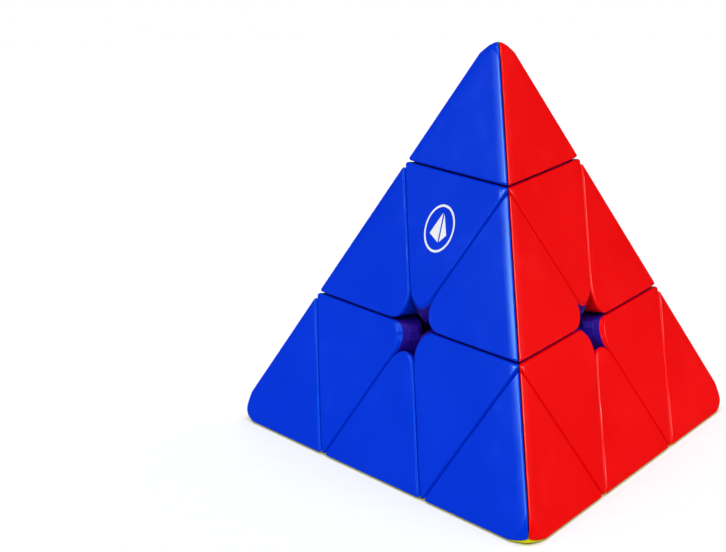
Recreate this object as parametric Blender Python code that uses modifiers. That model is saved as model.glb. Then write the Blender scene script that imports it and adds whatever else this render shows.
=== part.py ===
"""Pyramid twisty puzzle: a regular tetrahedron cut into three layers along each of its four axes.

Four tips, four axial pieces and six edge pieces turn about a four-armed core. The origin is the
centre of the core, where the four axes cross; +Z points to the top corner and -Y to the front one.
Every layer is cut along a plane outside the ball of radius CAVITY_R, and along a plane through the
centre inside it, so that the feet of the edge pieces turn under the axial pieces that hold them.
Lengths are in metres; MM turns the dimensions below into metres.
"""

from math import pi, radians, sqrt

import bmesh
import bpy
from mathutils import Matrix, Vector

MM = 0.001

# --- outer shape ---------------------------------------------------------------------------------
EDGE = 98.0 * MM                 # long edge of the sharp tetrahedron
INRADIUS = EDGE / (2 * sqrt(6))  # centre to face, 20.0 mm
LAYER_CUT = INRADIUS / 3         # height of a layer's cut above the centre, along its axis
TIP_CUT = 5 * INRADIUS / 3       # height of a tip's cut
CLEARANCE = 0.15 * MM            # each piece stands this far back from its cut plane
FILLET = 1.15 * MM               # setback of the fillet on the outer edges of tips and edge pieces
AXIAL_FILLET = 0.7 * MM          # setback of the smaller fillet on the axial pieces
TIP_ROUND = 8.2 * MM             # setback of the rounded corners of the tetrahedron
AXIAL_ROUND = 4.8 * MM           # setback of an axial piece's corner at the middle of a face
EDGE_ROUND = 6.6 * MM            # setback of the rounded inner ridge of an edge piece

# --- coloured shells on purple bodies ------------------------------------------------------------
SHELL = 1.8 * MM                 # thickness of the coloured shells of tips and edge pieces
AXIAL_SHELL = 1.2 * MM           # the axial pieces' shells are thinner
SHELL_GAP = 0.15 * MM            # between a shell and its body
SEAM = 0.30 * MM                 # between two shells along a long edge
SKIRT_DEPTH = 9.0 * MM           # an edge shell reaches this deep down the rounded ridge
SKIRT_BACK = 17.0 * MM           # back of that skirt, measured from the centre towards the long edge

# --- mechanism, heights along a corner's axis ----------------------------------------------------
CAVITY_R = 16.6 * MM             # ball hollowed out of the axial and edge bodies
FOOT_R = 16.0 * MM               # outer radius of the edge pieces' feet
FOOT_INNER_R = 10.3 * MM         # inner radius of the feet
FOOT_GAP = 0.30 * MM             # from a foot to each plane through the centre
HUB_R = 4.4 * MM                 # hub of an axial piece around the core's arm
HUB_BOTTOM = 13.6 * MM
SOCKET_R = 3.2 * MM              # socket in the hub for the end of the arm
SOCKET_TOP = 15.3 * MM
WELL_R = 4.8 * MM                # well for the cup, the screw head and the plug
WELL_FLOOR = 18.2 * MM
SHANK_HOLE_R = 1.6 * MM
BALL_R = 6.5 * MM                # middle of the core
ARM_R = 3.0 * MM
ARM_LENGTH = 15.1 * MM
PILOT_R = 1.2 * MM               # hole in an arm that the screw's thread bites into
PILOT_BOTTOM = 7.0 * MM
SHANK_R = 1.1 * MM               # plain body of the screw, inside its thread
SCREW_BOTTOM = 8.0 * MM
SCREW_POINT = 1.2 * MM           # length of the screw's pointed end
HEAD_R = 3.2 * MM
HEAD_SEAT = 24.4 * MM
HEAD_RIM = 25.2 * MM             # top of the head's straight side
HEAD_SHOULDER_R = 2.8 * MM       # the head rounds over through here
HEAD_SHOULDER = 25.9 * MM
HEAD_FLAT_R = 1.76 * MM          # to its flat top
HEAD_TOP = 26.4 * MM
CUP_R = 4.6 * MM
CUP_BORE_R = 4.0 * MM
CUP_BOTTOM = 18.4 * MM
CUP_FLOOR = 19.2 * MM
CUP_TOP = 25.6 * MM
PLUG_R = 4.6 * MM                # hollow plug under a tip, which turns in the well
PLUG_BORE_R = 3.4 * MM
PLUG_BOTTOM = 27.4 * MM
OVERLAP = 1.0 * MM               # how far joined or cutting solids reach into each other

STOCK = 300 * MM                 # cube that every flat-faced solid is cut from
RIDGE_REACH = 14.0 * MM          # an edge piece's inner ridge has its middle this near the centre

# --- fineness ------------------------------------------------------------------------------------
ROUND_STEPS = 4
CORNER_PROFILE = 0.45            # fullness of the rounded corners, where 0.5 is an arc
FILLET_STEPS = 2
TURNED_STEPS = 24
PILOT_STEPS = 12
BALL_STEPS = 28
SHARP = 40                       # an edge that turns by more than this many degrees gets a fillet
CREASE = 32                      # and one that turns by more than this is drawn as a crease

CORNERS = ("top", "front", "right", "left")
AXES = (
    Vector((0, 0, 1)),
    Vector((0, -sqrt(8) / 3, -1 / 3)),
    Vector((sqrt(2 / 3), sqrt(2) / 3, -1 / 3)),
    Vector((-sqrt(2 / 3), sqrt(2) / 3, -1 / 3)),
)
OUTWARD = (AXES[0] + AXES[1]).normalized()  # from the centre to the edge between top and front
# The face opposite each corner, in the order of CORNERS.
FACE_COLOURS = ("yellow", "green", "blue", "red")
COLOURS = {
    "yellow": (0.80, 0.78, 0.01),
    "green": (0.01, 0.40, 0.06),
    "blue": (0.00, 0.03, 0.68),
    "red": (0.86, 0.00, 0.00),
    "purple": (0.03, 0.004, 0.19),
    "white": (0.80, 0.80, 0.80),
    "clear_blue": (0.02, 0.15, 0.80),
    "steel": (0.60, 0.60, 0.62),
}
PLASTIC_ROUGHNESS = 0.35
STEEL_ROUGHNESS = 0.25


def material(name, colour):
    metal = name == "steel"
    made = bpy.data.materials.new(name)
    made.use_nodes = True
    shader = made.node_tree.nodes["Principled BSDF"]
    shader.inputs["Base Color"].default_value = (*colour, 1)
    shader.inputs["Roughness"].default_value = STEEL_ROUGHNESS if metal else PLASTIC_ROUGHNESS
    shader.inputs["Metallic"].default_value = float(metal)
    made.diffuse_color = (*colour, 1)
    return made


def clear_scene():
    for old in list(bpy.data.objects):
        bpy.data.objects.remove(old, do_unlink=True)
    for old in list(bpy.data.collections):
        bpy.data.collections.remove(old)


def new_collection(name):
    made = bpy.data.collections.new(name)
    bpy.context.scene.collection.children.link(made)
    return made


def mesh_object(name, bm, collection):
    bmesh.ops.recalc_face_normals(bm, faces=bm.faces)
    mesh = bpy.data.meshes.new(name)
    bm.to_mesh(mesh)
    bm.free()
    made = bpy.data.objects.new(name, mesh)
    collection.objects.link(made)
    return made


def cutter(name, bm):
    made = mesh_object(name, bm, workshop)
    made.hide_render = True
    made.display_type = "WIRE"
    return made


def evaluated_mesh(obj):
    """The object's mesh with its modifiers applied."""
    bpy.context.view_layer.update()
    graph = bpy.context.evaluated_depsgraph_get()
    return bpy.data.meshes.new_from_object(obj.evaluated_get(graph))


def boolean(obj, operation, other):
    modifier = obj.modifiers.new(other.name, "BOOLEAN")
    modifier.operation = operation
    modifier.solver = "EXACT"
    modifier.object = other


# --- solids --------------------------------------------------------------------------------------
def trim(bm, planes):
    """Cuts a convex solid back to normal . x <= height for each (normal, height), and caps it."""
    for normal, height in planes:
        unit = normal.normalized()
        cut = bmesh.ops.bisect_plane(
            bm, geom=bm.verts[:] + bm.edges[:] + bm.faces[:], dist=1e-8,
            plane_co=unit * (height / normal.length), plane_no=unit, clear_outer=True)
        rim = [e for e in cut["geom_cut"] if isinstance(e, bmesh.types.BMEdge)]
        if rim:
            bmesh.ops.edgeloop_fill(bm, edges=rim)
    return bm


def block(planes):
    bm = bmesh.new()
    bmesh.ops.create_cube(bm, size=STOCK)
    return trim(bm, planes)


def ball(radius):
    bm = bmesh.new()
    bmesh.ops.create_uvsphere(bm, u_segments=BALL_STEPS, v_segments=BALL_STEPS // 2, radius=radius)
    return bm


def rod(radius, bottom, top, steps=TURNED_STEPS):
    """A round rod on the +Z axis, which is the top corner's axis."""
    bm = bmesh.new()
    bmesh.ops.create_cone(bm, cap_ends=True, segments=steps, radius1=radius, radius2=radius,
                          depth=top - bottom, matrix=Matrix.Translation((0, 0, (top + bottom) / 2)))
    return bm


def turned(name, profile):
    """A piece turned about +Z; the profile runs from its top to its bottom on the outside."""
    bm = bmesh.new()
    ring = profile[0] == profile[-1]
    verts = [bm.verts.new((radius, 0, height)) for radius, height in profile[ring:]]
    for first, second in zip(verts, verts[1:] + verts[:1] * ring):
        bm.edges.new((first, second))
    mesh = bpy.data.meshes.new(name)
    bm.to_mesh(mesh)
    bm.free()
    made = bpy.data.objects.new(name, mesh)
    workshop.objects.link(made)
    made.hide_render = True
    screw = made.modifiers.new("turn", "SCREW")
    screw.steps = screw.render_steps = TURNED_STEPS
    screw.use_merge_vertices = True
    screw.merge_threshold = 0.00001
    return made


def sharp_edges(bm):
    bm.normal_update()
    return [e for e in bm.edges if len(e.link_faces) == 2 and e.calc_face_angle() > radians(SHARP)]


def round_edges(bm, edges, setback, steps):
    bmesh.ops.bevel(bm, geom=edges, offset=setback, offset_type="OFFSET", segments=steps,
                    profile=0.5, affect="EDGES", clamp_overlap=True, material=-1)


def round_corners(bm, corners, setback, steps):
    bmesh.ops.bevel(bm, geom=corners, offset=setback, offset_type="OFFSET", segments=steps,
                    profile=CORNER_PROFILE, affect="VERTICES", clamp_overlap=True, material=-1)


def near(bm, point):
    return [v for v in bm.verts if (v.co - point).length < MM]


def faces_except(*left_out):
    """The outer planes of the puzzle: the face opposite each corner that isn't left out."""
    return [(-AXES[i], INRADIUS) for i in range(4) if i not in left_out]


def above(axis, height):
    return (-AXES[axis], -height)


def below(axis, height):
    return (AXES[axis], height)


def rounded_tip():
    bm = block(faces_except(0) + [above(0, TIP_CUT + CLEARANCE)])
    round_corners(bm, near(bm, AXES[0] * 3 * INRADIUS), TIP_ROUND, ROUND_STEPS)
    round_edges(bm, sharp_edges(bm), FILLET, FILLET_STEPS)
    return bm


def rounded_axial():
    bm = block(faces_except(0) + [below(0, TIP_CUT - CLEARANCE)]
               + [below(i, LAYER_CUT - CLEARANCE) for i in (1, 2, 3)])
    ridges = [e for v in near(bm, -AXES[0] * INRADIUS) for e in v.link_edges]
    round_edges(bm, ridges, AXIAL_ROUND, ROUND_STEPS)
    trim(bm, [above(0, LAYER_CUT + CLEARANCE)])
    round_edges(bm, sharp_edges(bm), AXIAL_FILLET, FILLET_STEPS)
    return bm


def rounded_edge():
    """The edge piece between the top and front corners."""
    bm = block(faces_except(0, 1) + [above(0, LAYER_CUT + CLEARANCE), above(1, LAYER_CUT + CLEARANCE)])
    middles = {e: (e.verts[0].co + e.verts[1].co) / 2 for e in bm.edges}
    ridge = [e for e in bm.edges if middles[e].length < RIDGE_REACH]
    round_edges(bm, ridge, EDGE_ROUND, ROUND_STEPS + 1)
    round_edges(bm, sharp_edges(bm), FILLET, FILLET_STEPS)
    return bm


def shell(bm, face, others, thickness):
    """The coloured shell of a rounded piece on one face, up to the seams with the others."""
    seams = [(AXES[face] - AXES[i], -SEAM / 2 * (AXES[face] - AXES[i]).length) for i in others]
    return trim(bm, [(AXES[face], thickness - INRADIUS)] + seams)


def inner(bm, faces, thickness):
    """What is left of a rounded piece under its shells."""
    return trim(bm, [(-AXES[i], INRADIUS - thickness - SHELL_GAP) for i in faces])


def skirted_shell():
    """The edge piece's shell on the right corner's face, with its skirt down the rounded ridge."""
    wide = trim(rounded_edge(), [(AXES[2], SKIRT_DEPTH - INRADIUS),
                                 (AXES[2] - AXES[3], -SEAM / 2 * (AXES[2] - AXES[3]).length)])
    made = mesh_object("edge_shell", wide, workshop)
    behind = block([above(2, SHELL - INRADIUS), (-OUTWARD, -SKIRT_BACK)])
    boolean(made, "DIFFERENCE", cutter("behind_skirt", behind))
    return made


def skirt_space(face):
    """The room that a skirt takes out of the edge body."""
    return block([(AXES[face], SKIRT_DEPTH + SHELL_GAP - INRADIUS), (OUTWARD, SKIRT_BACK + SHELL_GAP)])


clear_scene()
puzzle = new_collection("pyramid_twisty_puzzle")
workshop = new_collection("workshop")
materials = {name: material(name, colour) for name, colour in COLOURS.items()}

# --- masters: one piece of each kind, at the top corner or on the edge between top and front --------
tip_shell = mesh_object("tip_shell", shell(rounded_tip(), 1, (2, 3), SHELL), workshop)
axial_shell = mesh_object("axial_shell", shell(rounded_axial(), 1, (2, 3), AXIAL_SHELL), workshop)
edge_shell = skirted_shell()

tip_body = mesh_object("tip_body", inner(rounded_tip(), (1, 2, 3), SHELL), workshop)
boolean(tip_body, "UNION", cutter("plug", rod(PLUG_R, PLUG_BOTTOM, TIP_CUT + 2 * OVERLAP)))
boolean(tip_body, "DIFFERENCE",
        cutter("plug_bore", rod(PLUG_BORE_R, PLUG_BOTTOM - OVERLAP, TIP_CUT + OVERLAP)))

axial_body = mesh_object("axial_body", inner(rounded_axial(), (1, 2, 3), AXIAL_SHELL), workshop)
boolean(axial_body, "DIFFERENCE", cutter("cavity", ball(CAVITY_R)))
boolean(axial_body, "UNION", cutter("hub", rod(HUB_R, HUB_BOTTOM, WELL_FLOOR + 2 * OVERLAP)))
boolean(axial_body, "DIFFERENCE", cutter("socket", rod(SOCKET_R, HUB_BOTTOM - OVERLAP, SOCKET_TOP)))
boolean(axial_body, "DIFFERENCE", cutter("well", rod(WELL_R, WELL_FLOOR, TIP_CUT + OVERLAP)))
boolean(axial_body, "DIFFERENCE",
        cutter("shank_hole", rod(SHANK_HOLE_R, SOCKET_TOP - OVERLAP, WELL_FLOOR + OVERLAP)))

edge_body = mesh_object("edge_body", inner(rounded_edge(), (2, 3), SHELL), workshop)
for i in (2, 3):  # the neck is left between these two
    side = trim(ball(CAVITY_R), [above(i, -2 * FOOT_GAP)])
    boolean(edge_body, "DIFFERENCE", cutter(f"beside_neck_{i}", side))
foot = cutter("foot", trim(ball(FOOT_R), [
    below(2, -FOOT_GAP), below(3, -FOOT_GAP), above(0, FOOT_GAP), above(1, FOOT_GAP)]))
boolean(foot, "DIFFERENCE", cutter("foot_hollow", ball(FOOT_INNER_R)))
boolean(edge_body, "UNION", foot)
for i in (2, 3):
    boolean(edge_body, "DIFFERENCE", cutter(f"skirt_space_{i}", skirt_space(i)))

core = mesh_object("core_master", ball(BALL_R), workshop)


def aligned(axis):
    """The rotation that takes the top corner's axis to this one."""
    return Vector((0, 0, 1)).rotation_difference(AXES[axis]).to_matrix().to_4x4()


for i, corner in enumerate(CORNERS):
    arm = rod(ARM_R, 0, ARM_LENGTH)
    bmesh.ops.transform(arm, matrix=aligned(i), verts=arm.verts)
    boolean(core, "UNION", cutter(corner + "_arm", arm))
for i, corner in enumerate(CORNERS):
    pilot = rod(PILOT_R, PILOT_BOTTOM, ARM_LENGTH + OVERLAP, PILOT_STEPS)
    bmesh.ops.transform(pilot, matrix=aligned(i), verts=pilot.verts)
    boolean(core, "DIFFERENCE", cutter(corner + "_pilot", pilot))

screw = turned("screw", [
    (0, HEAD_TOP), (HEAD_FLAT_R, HEAD_TOP), (HEAD_SHOULDER_R, HEAD_SHOULDER),
    (HEAD_R, HEAD_RIM), (HEAD_R, HEAD_SEAT), (SHANK_R, HEAD_SEAT),
    (SHANK_R, SCREW_BOTTOM + SCREW_POINT), (0, SCREW_BOTTOM)])
cup = turned("cup", [
    (CUP_BORE_R, CUP_TOP), (CUP_R, CUP_TOP), (CUP_R, CUP_BOTTOM), (SHANK_HOLE_R, CUP_BOTTOM),
    (SHANK_HOLE_R, CUP_FLOOR), (CUP_BORE_R, CUP_FLOOR), (CUP_BORE_R, CUP_TOP)])


def turns():
    """The twelve rotations of the tetrahedron, by where they take the top and front corners."""
    thirds = [Matrix.Rotation(2 * pi / 3, 3, axis) for axis in AXES]
    found = {}
    waiting = [Matrix.Identity(3)]
    while waiting:
        turn = waiting.pop()
        ends = tuple(max(range(4), key=lambda i: AXES[i].dot(turn @ AXES[j])) for j in (0, 1))
        if ends not in found:
            found[ends] = turn
            waiting += [third @ turn for third in thirds]
    return found


TURNS = turns()


def place(name, master, turn, colour):
    mesh = evaluated_mesh(master)
    mesh.name = name
    mesh.materials.clear()
    mesh.materials.append(materials[colour])
    mesh.transform(turn.to_4x4())
    mesh.shade_smooth()
    mesh.set_sharp_from_angle(angle=radians(CREASE))
    made = bpy.data.objects.new(name, mesh)
    puzzle.objects.link(made)
    return made


place("core", core, Matrix.Identity(3), "white")
for i, corner in enumerate(CORNERS):
    first = (i + 1) % 4
    turn = TURNS[i, first]
    place(f"{corner}_tip_body", tip_body, turn, "purple")
    place(f"{corner}_axial_body", axial_body, turn, "purple")
    place(f"{corner}_screw", screw, turn, "steel")
    place(f"{corner}_magnet_cup", cup, turn, "clear_blue")
    for j in range(4):
        if j != i:
            place(f"{corner}_tip_{FACE_COLOURS[j]}_shell", tip_shell, TURNS[i, j], FACE_COLOURS[j])
            place(f"{corner}_axial_{FACE_COLOURS[j]}_shell", axial_shell, TURNS[i, j], FACE_COLOURS[j])
for i in range(4):
    for j in range(i + 1, 4):
        name = f"{CORNERS[i]}_{CORNERS[j]}_edge"
        place(name + "_body", edge_body, TURNS[i, j], "purple")
        for turn in (TURNS[i, j], TURNS[j, i]):
            face = max(range(4), key=lambda k: AXES[k].dot(turn @ AXES[2]))
            place(f"{name}_{FACE_COLOURS[face]}_shell", edge_shell, turn, FACE_COLOURS[face])

for helper in workshop.objects:
    helper.hide_render = True
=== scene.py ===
"""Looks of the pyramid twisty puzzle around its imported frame.

The coloured shells are built again here with finer rounding, from the same planes as the CAD: a
regular tetrahedron cut into three layers along each of its four axes. The purple bodies, the core, the
cups and the screws stay the CAD's own nodes, and magnets are added between them. The origin is the
centre of the core, +Z points to the top corner and -Y to the front one. Lengths are in metres.
"""

from math import cos, pi, radians, sin, sqrt

import bmesh
import bpy
from mathutils import Matrix, Vector

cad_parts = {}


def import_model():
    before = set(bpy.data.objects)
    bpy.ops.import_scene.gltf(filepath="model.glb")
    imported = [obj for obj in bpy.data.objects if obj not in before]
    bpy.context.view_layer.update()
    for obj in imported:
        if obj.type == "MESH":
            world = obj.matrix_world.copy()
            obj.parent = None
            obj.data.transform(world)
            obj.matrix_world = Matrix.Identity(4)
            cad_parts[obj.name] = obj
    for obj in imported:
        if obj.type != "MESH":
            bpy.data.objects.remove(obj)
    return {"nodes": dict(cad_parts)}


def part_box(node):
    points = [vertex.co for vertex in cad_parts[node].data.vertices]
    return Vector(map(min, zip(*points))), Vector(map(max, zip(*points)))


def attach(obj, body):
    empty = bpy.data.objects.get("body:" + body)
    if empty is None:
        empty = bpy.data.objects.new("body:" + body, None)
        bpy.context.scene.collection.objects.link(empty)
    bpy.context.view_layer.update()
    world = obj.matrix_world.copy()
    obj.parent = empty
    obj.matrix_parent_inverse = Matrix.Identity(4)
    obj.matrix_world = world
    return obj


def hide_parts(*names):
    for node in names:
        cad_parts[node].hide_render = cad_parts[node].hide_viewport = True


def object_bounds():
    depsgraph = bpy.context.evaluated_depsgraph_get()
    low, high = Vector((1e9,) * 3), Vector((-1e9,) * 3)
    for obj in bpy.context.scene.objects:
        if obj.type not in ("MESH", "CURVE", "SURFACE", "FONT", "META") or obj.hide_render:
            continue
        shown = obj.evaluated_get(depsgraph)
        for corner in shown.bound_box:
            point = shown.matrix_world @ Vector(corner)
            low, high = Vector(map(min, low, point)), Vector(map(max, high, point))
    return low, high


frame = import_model()
cad_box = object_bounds()

MM = 0.001

# --- outer shape ---------------------------------------------------------------------------------
INRADIUS = -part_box("front_tip_yellow_shell")[0].z  # centre to face
LAYER_CUT = INRADIUS / 3         # height of a layer's cut above the centre, along its axis
TIP_CUT = 5 * INRADIUS / 3       # height of a tip's cut
CLEARANCE = 0.15 * MM            # each piece stands this far back from its cut plane
FILLET_R = 0.45 * MM             # fillet along every edge of a piece
CROWN_WIDTH = 3.0 * MM           # each face curves away towards the long edges, over this width
CROWN_END = 0.5 * MM             # and the fillet takes over this far from the sharp edge
CROWN_TILT = radians(5)          # tilt of the face where the fillet takes over
CORNER_ARC = 4.1 * MM            # arc in each face around a rounded corner, measured inside the fillet
CORNER_DOME = 1.87 * MM          # radius of the dome over each rounded corner
AXIAL_NOSE_R = 4.3 * MM          # rounded ridge of an axial piece, at the middle of a face
AXIAL_NOSE_DEPTH = 6.4 * MM      # that ridge would be sharp again this far below the face
EDGE_NOSE_R = 4.67 * MM          # rounded inner ridge of an edge piece, at a face
EDGE_NOSE_DEPTH = 9.5 * MM       # and this one here
SHELL_THICKNESS = 1.8 * MM       # of the coloured shells of tips and edge pieces
AXIAL_SHELL_THICKNESS = 0.6 * MM
AXIAL_BODY_TOP = 1.37 * MM       # depth of the axial bodies, up to which a purple rim fills the gap
SEAM = 0.22 * MM                 # between two shells along a long edge
SKIRT_DEPTH = 9.0 * MM           # an edge shell reaches this deep down the rounded ridge
SKIRT_BACK = 17.0 * MM           # back of that skirt, measured from the centre towards the long edge

MAGNET_R = 1.5 * MM              # round magnets in the cut between a tip and its axial piece
MAGNET_HEIGHT = 1.2 * MM
MAGNET_SPREAD = 11.0 * MM        # from the axis
MAGNET_PROUD = 0.04 * MM         # over the purple face around them
MAGNET_BREAK = 0.15 * MM         # broken outer edges of all magnets
RING_R = 3.8 * MM                # the pair of ring magnets around each screw, in its cup
RING_BORE_R = 1.5 * MM
RING_HEIGHT = 1.8 * MM
LOWER_RING = 19.3 * MM           # height of its lower face along the axis
UPPER_RING = 22.5 * MM

EMBLEM_R = 4.4 * MM              # printed emblem: outer radius of its ring
EMBLEM_BORE = 0.9                # inner radius of that ring, as a share of the outer one
EMBLEM_LEFT_SIDE = ((-0.02, 0.66), (-0.56, -0.28), (0.13, -0.56))  # of its pyramid, in such shares
EMBLEM_RIGHT_SIDE = ((0.08, 0.62), (0.22, -0.53), (0.58, -0.20))
EMBLEM_RISE = 18.2 * MM          # its centre, from the middle of the face towards the corner
EMBLEM_PROUD = 0.02 * MM         # thickness of the print over the face
EMBLEM_DEPTH = 0.3 * MM          # how far its film reaches into the shell

# --- fineness ------------------------------------------------------------------------------------
NOSE_STEPS = 12
CROWN_STEPS = 5
ARC_STEPS = 6
DOME_STEPS = 14
LATHE_STEPS = 48
EMBLEM_STEPS = 64
SAME_SURFACE = radians(14)       # facets that turn by less than this belong to one smooth surface
SHARP_EDGE = radians(35)         # an edge that turns by more than this is shaded as a sharp one
START_SIZE = 20 * INRADIUS       # a solid starts as a cube of this size, which its planes cut back
MERGE = 1e-6                     # corners nearer than this are one corner
ON_PLANE = MERGE / 10            # a corner this near to a plane lies on it
NORMAL_DIGITS = 5                # normals are the same if they agree in this many decimals

CORNERS = ("top", "front", "right", "left")
AXES = (
    Vector((0, 0, 1)),
    Vector((0, -sqrt(8) / 3, -1 / 3)),
    Vector((sqrt(2 / 3), sqrt(2) / 3, -1 / 3)),
    Vector((-sqrt(2 / 3), sqrt(2) / 3, -1 / 3)),
)
OUTWARD = (AXES[0] + AXES[1]).normalized()  # from the centre to the edge between top and front
FACE_COLOURS = ("yellow", "green", "blue", "red")


# --- materials -----------------------------------------------------------------------------------
class Nodes:
    """Adds nodes to a material and links them, in one line each."""

    def __init__(self, name):
        self.material = bpy.data.materials.new(name)
        self.material.use_nodes = True
        self.tree = self.material.node_tree
        self.shader = self.tree.nodes["Principled BSDF"]

    def add(self, kind, values=(), **settings):
        node = self.tree.nodes.new("ShaderNode" + kind)
        for key, value in settings.items():
            setattr(node, key, value)
        for socket, value in dict(values).items():
            self.put(node, socket, value)
        return node

    def put(self, node, socket, value):
        if isinstance(value, bpy.types.NodeSocket):
            self.tree.links.new(value, node.inputs[socket])
        else:
            node.inputs[socket].default_value = value

    def noise(self, scale, detail, stretch=None):
        where = self.add("TexCoord").outputs["Object"]
        if stretch:
            where = self.add("Mapping", {"Vector": where, "Scale": stretch}).outputs[0]
        return self.add("TexNoise", {"Vector": where, "Scale": scale, "Detail": detail}).outputs[0]

    def span(self, value, low, high, start=0.0, end=1.0):
        made = self.add("MapRange", {"Value": value, "From Min": start, "From Max": end,
                                     "To Min": low, "To Max": high})
        return made.outputs[0]

    def mix(self, share, first, second):
        made = self.add("Mix", data_type="RGBA")
        for socket, value in ((0, share), (6, first), (7, second)):
            self.put(made, socket, value)
        return made.outputs[2]

    def plus(self, first, second):
        return self.add("Math", {0: first, 1: second}, operation="ADD").outputs[0]


def shade(colour, factor):
    return (*(min(1.0, c * factor) for c in colour), 1)


WHITE = (1, 1, 1)
SHELL_GLOSS = (0.14, 0.18)       # lowest and highest roughness of the coloured shells
SHELL_GRAIN = 0.002 * MM         # depth of their moulded grain
CLOUD_SCALE = 45                 # clouds, patches, scratches and grain are noise of these scales
CLOUD_SPAN = (0.3, 0.7)          # and each shows where that noise lies in its span
CLOUD_SHADES = (0.96, 1.04)
PATCH_SCALE = 160
PATCH_SPAN = (0.52, 0.70)
PATCH_SHADE = 1.08
PATCH_STRENGTH = 0.5             # share of that shade in a rubbed patch
PATCH_ROUGHNESS = 0.03           # added to the roughness there
SCRATCH_SCALE = 2400
SCRATCH_STRETCH = (0.04, 1.0, 0.7)
SCRATCH_SPAN = (0.70, 0.74)
SCRATCH_ROUGHNESS = 0.04
GRAIN_SCALE = 2600


def worn(name, colour, tint=WHITE, gloss=SHELL_GLOSS, grain=SHELL_GRAIN, metallic=0.0):
    """A slightly worn surface: cloudy colour, fine grain, faint rubbed patches and hairline scratches."""
    made = Nodes(name)
    cloud = made.noise(CLOUD_SCALE, 4)
    patches = made.span(made.noise(PATCH_SCALE, 6), 0, 1, *PATCH_SPAN)
    scratches = made.span(made.noise(SCRATCH_SCALE, 1, SCRATCH_STRETCH), 0, 1, *SCRATCH_SPAN)
    dark, light = (shade(colour, factor) for factor in CLOUD_SHADES)
    clouded = made.mix(made.span(cloud, 0, 1, *CLOUD_SPAN), dark, light)
    rubbed = made.mix(made.span(patches, 0, PATCH_STRENGTH), clouded, shade(colour, PATCH_SHADE))
    rough = made.plus(made.span(cloud, *gloss, *CLOUD_SPAN), made.span(patches, 0, PATCH_ROUGHNESS))
    scratched = made.plus(rough, made.span(scratches, 0, SCRATCH_ROUGHNESS))
    bumps = made.add("Bump", {"Height": made.noise(GRAIN_SCALE, 2), "Distance": grain, "Strength": 1.0})
    for socket, value in (("Base Color", rubbed), ("Roughness", scratched), ("Normal", bumps.outputs[0]),
                          ("Specular Tint", (*tint, 1)), ("Metallic", metallic)):
        made.put(made.shader, socket, value)
    return made.material


MATERIALS = {
    "yellow": worn("shell yellow", (0.80, 0.76, 0.01), (1, 1, 0.7)),
    "green": worn("shell green", (0.01, 0.40, 0.06), (0.5, 1, 0.6)),
    "blue": worn("shell blue", (0.0, 0.032, 0.65), (0.05, 0.60, 1)),
    "red": worn("shell red", (0.86, 0.0, 0.0), (1, 0.40, 0.40)),
    "purple": worn("inner purple", (0.016, 0.003, 0.20), (0.1, 0.05, 1), (0.36, 0.46), 0.015 * MM),
    "white": worn("core white", (0.80, 0.80, 0.80), gloss=(0.4, 0.5)),
    "clear_blue": worn("clear blue", (0.02, 0.15, 0.80), gloss=(0.1, 0.16)),
    "magnet": worn("nickel plate", (0.70, 0.69, 0.66), gloss=(0.18, 0.28), metallic=1.0),
    "steel": worn("steel", (0.62, 0.62, 0.64), gloss=(0.14, 0.22), metallic=1.0),
}


# --- solids --------------------------------------------------------------------------------------
def cut(bm, normal, height, **cleared):
    """Cuts a solid's faces along the plane normal . x = height."""
    unit = normal.normalized()
    bmesh.ops.bisect_plane(
        bm, geom=bm.verts[:] + bm.edges[:] + bm.faces[:], dist=ON_PLANE,
        plane_co=unit * (height / normal.length), plane_no=unit, **cleared)


def rim_of(bm):
    return [edge for edge in bm.edges if edge.is_boundary]


def trim(bm, planes):
    """Cuts a convex solid back to normal . x <= height for each (normal, height), and caps it."""
    for normal, height in planes:
        cut(bm, normal, height, clear_outer=True)
        ends = list(dict.fromkeys(vertex for edge in rim_of(bm) for vertex in edge.verts))
        if ends:
            bmesh.ops.remove_doubles(bm, verts=ends, dist=MERGE)
            bmesh.ops.holes_fill(bm, edges=rim_of(bm), sides=0)
    return bm


def block(planes):
    """The convex solid inside these planes."""
    bm = bmesh.new()
    bmesh.ops.create_cube(bm, size=START_SIZE)
    return trim(bm, planes)


def faces_except(*corners):
    """The planes of the tetrahedron's faces, without those opposite these corners."""
    return [(-AXES[i], INRADIUS) for i in range(4) if i not in corners]


def above(axis, height):
    """The plane at this height along an axis, for a solid above it."""
    return (-AXES[axis], -height)


def below(axis, height):
    """The plane at this height along an axis, for a solid below it."""
    return (AXES[axis], height)


def arc(first, second, steps):
    """Unit vectors from first to second along a great circle."""
    whole = first.angle(second)
    return [(first * sin(whole * (1 - k / steps)) + second * sin(whole * k / steps)) / sin(whole)
            for k in range(steps + 1)]


def fan(corners, steps):
    """Unit vectors spread over the spherical triangle of three unit vectors."""
    return [(corners[0] * i + corners[1] * j + corners[2] * (steps - i - j)).normalized()
            for i in range(steps + 1) for j in range(steps + 1 - i)]


def nose(first, second, radius):
    """Planes that round the ridge between two planes to this radius."""
    middle = (first[0] + second[0]).normalized()
    ridge = first[1] / first[0].dot(middle)
    centre = middle * (ridge - radius / first[0].dot(middle))
    return [(n, centre.dot(n) + radius) for n in arc(first[0], second[0], NOSE_STEPS)[1:-1]]


def flared(first, second, radius, face, depth):
    """Planes that round a ridge to this radius at a face, and less and less down to a depth below it."""
    middle = (first[0] + second[0]).normalized()
    ridge = middle * (first[1] / first[0].dot(middle))
    made = []
    for n, height in nose(first, second, radius):
        lean = (ridge.dot(n) - height) / depth
        tilted = n + face[0] * lean
        made.append((tilted.normalized(), (height + face[1] * lean) / tilted.length))
    return made


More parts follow.
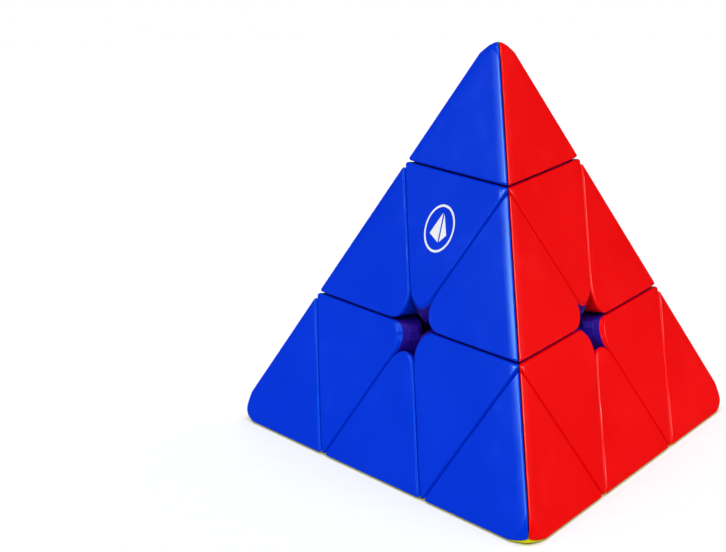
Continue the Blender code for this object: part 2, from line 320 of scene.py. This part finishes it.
def crown(face, other):
    """Planes that curve a face away towards its border with another face."""
    lean = face[0].dot(other[0])
    outwards = (other[0] - face[0] * lean).normalized()
    border = (other[1] - face[1] * lean) / other[0].dot(outwards)
    made = []
    for k in range(CROWN_STEPS):
        part = (k + 0.5) / CROWN_STEPS
        tilt = CROWN_TILT * part
        along = border - CROWN_WIDTH + (CROWN_WIDTH - CROWN_END) * part
        depth = tilt * (CROWN_WIDTH - CROWN_END) * part / 2
        point = face[0] * (face[1] - depth) + outwards * along
        normal = face[0] * cos(tilt) + outwards * sin(tilt)
        made.append((normal, point.dot(normal)))
    return made


def surfaces(vertex):
    """The mean normals of the smooth surfaces that meet at a vertex."""
    found = []
    for face in vertex.link_faces:
        for group in found:
            if min(group, key=face.normal.angle).angle(face.normal) < SAME_SURFACE:
                group.append(face.normal)
                break
        else:
            found.append([face.normal])
    return [sum(group, Vector()).normalized() for group in found]


def digits(normal):
    return tuple(round(x, NORMAL_DIGITS) for x in normal)


def rounded(planes):
    """The solid inside the planes, with every edge between two surfaces rounded to FILLET_R."""
    inset = block([(n, height - FILLET_R) for n, height in planes])
    inset.normal_update()
    flat = {digits(n): (n, height) for n, height in planes}
    supports = {}
    for vertex in inset.verts:
        normals = surfaces(vertex)
        spread = list(normals)
        for i, first in enumerate(normals):
            for j, second in enumerate(normals[:i]):
                spread += arc(first, second, ARC_STEPS)
                for third in normals[:j]:
                    spread += fan((first, second, third), ARC_STEPS)
        for n in spread:
            height = vertex.co.dot(n) + FILLET_R
            direction = digits(n)
            if direction in flat:
                continue
            if direction not in supports or supports[direction][1] < height:
                supports[direction] = (n, height)
    inset.free()
    return block(list(flat.values()) + list(supports.values()))


def crowned(faces):
    """Faces, and the planes that curve each of them away towards the others."""
    curves = [crown(face, other) for face in faces for other in faces if other is not face]
    return faces + sum(curves, [])


def rounded_tip():
    """The top tip. Its corner is the hull of a large ball and of small ones along an arc in each face."""
    planes = crowned(faces_except(0)) + [above(0, TIP_CUT + CLEARANCE)]
    apex = AXES[0] * 3 * INRADIUS
    balls = [(apex - AXES[0] * 3 * CORNER_DOME, CORNER_DOME)]
    for i in (1, 2, 3):
        down = -(AXES[0] - AXES[i] * AXES[0].dot(AXES[i])).normalized()
        side = AXES[i].cross(down)
        middle = AXES[0] * 3 * (INRADIUS - FILLET_R) + down * 2 * CORNER_ARC
        for k in range(-NOSE_STEPS, NOSE_STEPS + 1):
            angle = k / NOSE_STEPS * pi / 3
            balls.append((middle + (side * sin(angle) - down * cos(angle)) * CORNER_ARC, FILLET_R))
    for n in fan([-AXES[1], -AXES[2], -AXES[3]], DOME_STEPS):
        planes.append((n, max(centre.dot(n) + radius for centre, radius in balls)))
    return rounded(planes)


def rounded_axial():
    """The axial piece under the top tip, with three ridges that each end at the middle of a face."""
    layers = [below(i, LAYER_CUT - CLEARANCE) for i in (1, 2, 3)]
    ridges = []
    for i in range(3):
        face = (-AXES[(i + 1) % 3 + 1], INRADIUS)
        ridges += flared(layers[i], layers[i - 1], AXIAL_NOSE_R, face, AXIAL_NOSE_DEPTH)
    walls = layers + ridges + [below(0, TIP_CUT - CLEARANCE), above(0, LAYER_CUT + CLEARANCE)]
    return rounded(crowned(faces_except(0)) + walls)


def rounded_edge():
    """The edge piece between the top and front corners."""
    cuts = [above(0, LAYER_CUT + CLEARANCE), above(1, LAYER_CUT + CLEARANCE)]
    faces = faces_except(0, 1)
    noses = [p for face in faces for p in flared(cuts[0], cuts[1], EDGE_NOSE_R, face, EDGE_NOSE_DEPTH)]
    return rounded(crowned(faces) + cuts + noses)


def shell(bm, face, others, thickness):
    """The coloured shell of a rounded piece on one face, up to the seams with the others."""
    return trim(bm, [below(face, thickness - INRADIUS)] + [seam(face, i) for i in others])


def seam(face, other):
    """The plane that ends a face's shell at the long edge with the other face."""
    between = AXES[face] - AXES[other]
    return (between, -SEAM / 2 * between.length)


def skirted_shell():
    """The edge piece's shell on the right corner's face, with its skirt down the rounded ridge."""
    base = SHELL_THICKNESS - INRADIUS
    plate = rounded_edge()
    skirt = plate.copy()
    trim(plate, [seam(2, 3), below(2, base), (-OUTWARD, -SKIRT_BACK)])
    trim(skirt, [seam(2, 3), below(2, SKIRT_DEPTH - INRADIUS), (OUTWARD, SKIRT_BACK)])
    cut(skirt, AXES[2], base)
    joined = bmesh.new()
    for half in (plate, skirt):
        inside = [f for f in half.faces
                  if all(abs(v.co.dot(OUTWARD) - SKIRT_BACK) < ON_PLANE for v in f.verts)
                  and f.calc_center_median().dot(AXES[2]) < base]
        bmesh.ops.delete(half, geom=inside, context="FACES_ONLY")
        mesh = bpy.data.meshes.new("half")
        half.to_mesh(mesh)
        joined.from_mesh(mesh)
        bpy.data.meshes.remove(mesh)
        half.free()
    bmesh.ops.remove_doubles(joined, verts=joined.verts, dist=2 * MERGE)
    return joined


def master(name, bm):
    """The mesh of a finished solid, with its faces turned outwards."""
    bmesh.ops.recalc_face_normals(bm, faces=bm.faces)
    mesh = bpy.data.meshes.new(name)
    bm.to_mesh(mesh)
    bm.free()
    return mesh


# --- coloured shells and purple rims -------------------------------------------------------------
def nearest_axis(direction):
    return max(range(4), key=lambda i: AXES[i].dot(direction))


def turns():
    """The twelve rotations of the tetrahedron, by where they take the top and front corners."""
    thirds = [Matrix.Rotation(2 * pi / 3, 3, axis) for axis in AXES]
    found = {}
    waiting = [Matrix.Identity(3)]
    while waiting:
        turn = waiting.pop()
        ends = tuple(nearest_axis(turn @ AXES[j]) for j in (0, 1))
        if ends not in found:
            found[ends] = turn
            waiting += [third @ turn for third in thirds]
    return found


TURNS = turns()


def place(name, mesh, turn, material, body, slot, *nodes):
    """A copy of a master mesh, turned into place, riding on a body and standing for CAD nodes."""
    mesh = mesh.copy()
    mesh.transform(turn.to_4x4())
    mesh.materials.append(MATERIALS[material])
    mesh.shade_smooth()
    mesh.set_sharp_from_angle(angle=SHARP_EDGE)
    made = bpy.data.objects.new(name, mesh)
    bpy.context.scene.collection.objects.link(made)
    normals = made.modifiers.new("normals", "WEIGHTED_NORMAL")
    normals.keep_sharp = True
    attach(made, body)
    if nodes:
        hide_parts(*nodes)


def place_shell(node, mesh, turn, colour, body):
    place(node + "_finish", mesh, turn, colour, body, "shell_" + colour, node)


TIP_SHELL = master("tip_shell", shell(rounded_tip(), 1, (2, 3), SHELL_THICKNESS))
AXIAL_SHELL = master("axial_cap", shell(rounded_axial(), 1, (2, 3), AXIAL_SHELL_THICKNESS))
AXIAL_RIM = master("axial_rim", trim(shell(rounded_axial(), 1, (2, 3), AXIAL_BODY_TOP),
                                     [above(1, AXIAL_SHELL_THICKNESS - INRADIUS)]))
EDGE_SHELL = master("edge_shell", skirted_shell())

for i, corner in enumerate(CORNERS):
    tip = corner + "_tip"
    axial = corner + "_axial"
    for j, colour in enumerate(FACE_COLOURS):
        if j != i:
            turn = TURNS[i, j]
            place_shell(f"{tip}_{colour}_shell", TIP_SHELL, turn, colour, tip)
            place_shell(f"{axial}_{colour}_shell", AXIAL_SHELL, turn, colour, axial)
            place(f"{axial}_{colour}_rim", AXIAL_RIM, turn, "purple", axial, "inner_purple")
for i in range(4):
    for j in range(i + 1, 4):
        edge = f"{CORNERS[i]}_{CORNERS[j]}_edge"
        for turn in (TURNS[i, j], TURNS[j, i]):
            colour = FACE_COLOURS[nearest_axis(turn @ AXES[2])]
            place_shell(f"{edge}_{colour}_shell", EDGE_SHELL, turn, colour, edge)


# --- magnets -------------------------------------------------------------------------------------
def magnet(inner, outer, low, height, centres):
    """Discs or rings with broken outer edges, swept about lines along the top axis."""
    high = low + height
    flat = outer - MAGNET_BREAK
    profile = ((inner, low), (flat, low), (outer, low + MAGNET_BREAK),
               (outer, high - MAGNET_BREAK), (flat, high), (inner, high))
    bm = bmesh.new()
    for centre in centres:
        lathe(bm, profile, centre)
    bmesh.ops.remove_doubles(bm, verts=bm.verts, dist=MERGE)
    return master("magnet", bm)


def lathe(bm, profile, centre):
    """Adds the solid that a closed (radius, height) profile sweeps about the line through a centre."""
    rings = []
    for k in range(LATHE_STEPS):
        angle = 2 * pi * k / LATHE_STEPS
        outwards = Vector((cos(angle), sin(angle), 0))
        rings.append([bm.verts.new(centre + outwards * r + AXES[0] * h) for r, h in profile])
    for k, ring in enumerate(rings):
        after = rings[(k + 1) % LATHE_STEPS]
        for m in range(len(profile)):
            n = (m + 1) % len(profile)
            if profile[m][0] > 0 or profile[n][0] > 0:
                bm.faces.new((ring[m], ring[n], after[n], after[m]))


def tip_magnets(low):
    """Three round magnets around the axis, near the corners of the tip's cut."""
    angles = [2 * pi * k / 3 - pi / 2 for k in range(3)]
    centres = [Vector((cos(angle), sin(angle), 0)) * MAGNET_SPREAD for angle in angles]
    return magnet(0, MAGNET_R, low, MAGNET_HEIGHT, centres)


def ring_magnet(low):
    return magnet(RING_BORE_R, RING_R, low, RING_HEIGHT, [Vector()])


AXIAL_MAGNETS = tip_magnets(TIP_CUT - CLEARANCE + MAGNET_PROUD - MAGNET_HEIGHT)
TIP_MAGNETS = tip_magnets(TIP_CUT + CLEARANCE - MAGNET_PROUD)
LOWER_RING_MAGNET = ring_magnet(LOWER_RING)
UPPER_RING_MAGNET = ring_magnet(UPPER_RING)

for i, corner in enumerate(CORNERS):
    for name, mesh, body in (
            ("axial_magnets", AXIAL_MAGNETS, corner + "_axial"),
            ("tip_magnets", TIP_MAGNETS, corner + "_tip"),
            ("lower_ring_magnet", LOWER_RING_MAGNET, corner + "_axial"),
            ("upper_ring_magnet", UPPER_RING_MAGNET, "core")):
        place(f"{corner}_{name}", mesh, TURNS[i, (i + 1) % 4], "magnet", body, "screw_steel")


# --- printed emblem ------------------------------------------------------------------------------
def film(bm, outer, inner, rise):
    """A closed thin plate over an outline, or between an outer and an inner outline."""
    low = [bm.verts.new(p) for p in outer]
    high = [bm.verts.new(p + rise) for p in outer]
    rims = [(low, high)]
    if inner:
        rims.append(([bm.verts.new(p) for p in inner], [bm.verts.new(p + rise) for p in inner]))
    else:
        bm.faces.new(low)
        bm.faces.new(high)
    for k in range(len(outer)):
        after = (k + 1) % len(outer)
        for below_rim, above_rim in rims:
            bm.faces.new((below_rim[k], below_rim[after], above_rim[after], above_rim[k]))
        if inner:
            for side in (0, 1):
                bm.faces.new((rims[0][side][k], rims[0][side][after], rims[1][side][after], rims[1][side][k]))


def emblem():
    """A generic pyramid in a ring, printed in white on the blue face of the top axial piece."""
    normal = -AXES[2]
    up = (AXES[0] - AXES[2] * AXES[2].dot(AXES[0])).normalized()
    side = up.cross(normal)
    centre = normal * (INRADIUS - EMBLEM_DEPTH) + up * EMBLEM_RISE

    def at(x, y):
        return centre + (side * x + up * y) * EMBLEM_R

    def circle(radius):
        angles = [2 * pi * k / EMBLEM_STEPS for k in range(EMBLEM_STEPS)]
        return [at(radius * cos(angle), radius * sin(angle)) for angle in angles]

    bm = bmesh.new()
    rise = normal * (EMBLEM_DEPTH + EMBLEM_PROUD)
    film(bm, circle(1.0), circle(EMBLEM_BORE), rise)
    for outline in (EMBLEM_LEFT_SIDE, EMBLEM_RIGHT_SIDE):
        film(bm, [at(x, y) for x, y in outline], None, rise)
    return master("emblem", bm)


place("top_axial_emblem", emblem(), Matrix.Identity(3), "white", "top_axial", "core_white")


# --- the CAD's own nodes -------------------------------------------------------------------------
NODE_MATERIALS = {"body": "purple", "core": "white", "cup": "clear_blue", "screw": "steel"}
for name, node in frame["nodes"].items():
    kind = name.split("_")[-1]
    if kind in NODE_MATERIALS:
        for material_slot in node.material_slots:
            material_slot.material = MATERIALS[NODE_MATERIALS[kind]]


# --- stage ---------------------------------------------------------------------------------------
FLOOR_R = 0.6                    # the floor ends far behind the puzzle, as white as the world there
FLOOR_GAP = 0.02 * MM
FLOOR_STEPS = 96
PAPER_SCALE = 260
PAPER_SHADES = ((0.90, 0.90, 0.905, 1), (0.94, 0.94, 0.945, 1))
PAPER_ROUGHNESS = 0.75

WORLD_LIGHT = (0.88, 0.92, 1.0, 1)
WORLD_STRENGTH = 0.32
WORLD_REFLECTION = (0.02, 0.02, 0.025, 1)
WORLD_SEEN = (1, 1, 1, 1)

SKY_PANELS = (                   # name, direction, strength, width in degrees
    ("front left", (-0.30, -0.80, 0.60), 0.70, 40),
    ("front right", (0.45, -0.80, 0.50), 0.30, 40),
    ("top", (0.0, -0.15, 1.0), 2.05, 70),
)
SOFTBOXES = (                    # name, position, size, watts
    ("left low", (-1.92, 0.25, 0.44), (0.18, 0.24), 1.9),
    ("left middle", (-1.85, 0.49, 0.57), (0.18, 0.24), 1.9),
    ("left high", (-1.77, 0.51, 0.80), (0.18, 0.24), 1.9),
    ("right", (1.86, 0.43, 0.52), (0.24, 0.50), 9.0),
)

CAMERA_POSITION = Vector((-43.0, -436.4, 114.4)) * MM
CAMERA_FORWARD = Vector((0.04116, 0.97367, -0.22420))
CAMERA_RIGHT = Vector((0.99896, -0.04445, -0.00966))
CAMERA_SENSOR = 36               # in millimetres, as is the lens
CAMERA_LENS = 122.2
CAMERA_CLIP = 0.01


def floor():
    bm = bmesh.new()
    bmesh.ops.create_circle(bm, cap_ends=True, segments=FLOOR_STEPS, radius=FLOOR_R)
    mesh = master("floor", bm)
    made = bpy.data.objects.new("floor", mesh)
    made.location.z = cad_box[0].z - FLOOR_GAP
    made.visible_glossy = False
    bpy.context.scene.collection.objects.link(made)
    paper = Nodes("floor paper")
    paper.put(paper.shader, "Base Color", paper.mix(paper.noise(PAPER_SCALE, 3), *PAPER_SHADES))
    paper.put(paper.shader, "Roughness", PAPER_ROUGHNESS)
    mesh.materials.append(paper.material)


def hang(lamp, position):
    """Hangs a lamp at this position, aimed at the centre of the puzzle."""
    made = bpy.data.objects.new(lamp.name, lamp)
    made.location = position
    made.rotation_mode = "QUATERNION"
    made.rotation_quaternion = (-Vector(position)).to_track_quat("-Z", "Y")
    bpy.context.scene.collection.objects.link(made)


def softbox(name, position, size, power):
    lamp = bpy.data.lights.new(name + " panel", "AREA")
    lamp.shape = "RECTANGLE"
    lamp.size, lamp.size_y = size
    lamp.energy = power
    hang(lamp, position)


def sky_panel(name, direction, strength, width):
    """A wide soft light far away, so that the whole floor is lit evenly."""
    lamp = bpy.data.lights.new(name + " panel", "SUN")
    lamp.energy = strength
    lamp.angle = radians(width)
    hang(lamp, direction)


def world():
    """White to the camera, a soft grey as light and nearly dark in reflections."""
    made = bpy.data.worlds.new("studio")
    bpy.context.scene.world = made
    made.use_nodes = True
    tree = made.node_tree
    paths = tree.nodes.new("ShaderNodeLightPath")
    shader = tree.nodes["Background"]
    shader.inputs["Color"].default_value = WORLD_LIGHT
    shader.inputs["Strength"].default_value = WORLD_STRENGTH
    for ray, colour in (("Is Glossy Ray", WORLD_REFLECTION), ("Is Camera Ray", WORLD_SEEN)):
        seen = tree.nodes.new("ShaderNodeBackground")
        seen.inputs["Color"].default_value = colour
        mix = tree.nodes.new("ShaderNodeMixShader")
        tree.links.new(paths.outputs[ray], mix.inputs[0])
        tree.links.new(shader.outputs[0], mix.inputs[1])
        tree.links.new(seen.outputs[0], mix.inputs[2])
        shader = mix
    tree.links.new(shader.outputs[0], tree.nodes["World Output"].inputs[0])


def camera():
    data = bpy.data.cameras.new("camera")
    data.sensor_width = CAMERA_SENSOR
    data.lens = CAMERA_LENS
    data.clip_start = CAMERA_CLIP
    made = bpy.data.objects.new("camera", data)
    bpy.context.scene.collection.objects.link(made)
    up = CAMERA_RIGHT.cross(CAMERA_FORWARD)
    turn = Matrix((CAMERA_RIGHT, up, -CAMERA_FORWARD)).transposed()
    made.matrix_world = Matrix.Translation(CAMERA_POSITION) @ turn.to_4x4()
    bpy.context.scene.camera = made


floor()
world()
for panel in SKY_PANELS:
    sky_panel(*panel)
for panel in SOFTBOXES:
    softbox(*panel)
camera()
bpy.context.scene.view_settings.view_transform = "Standard"
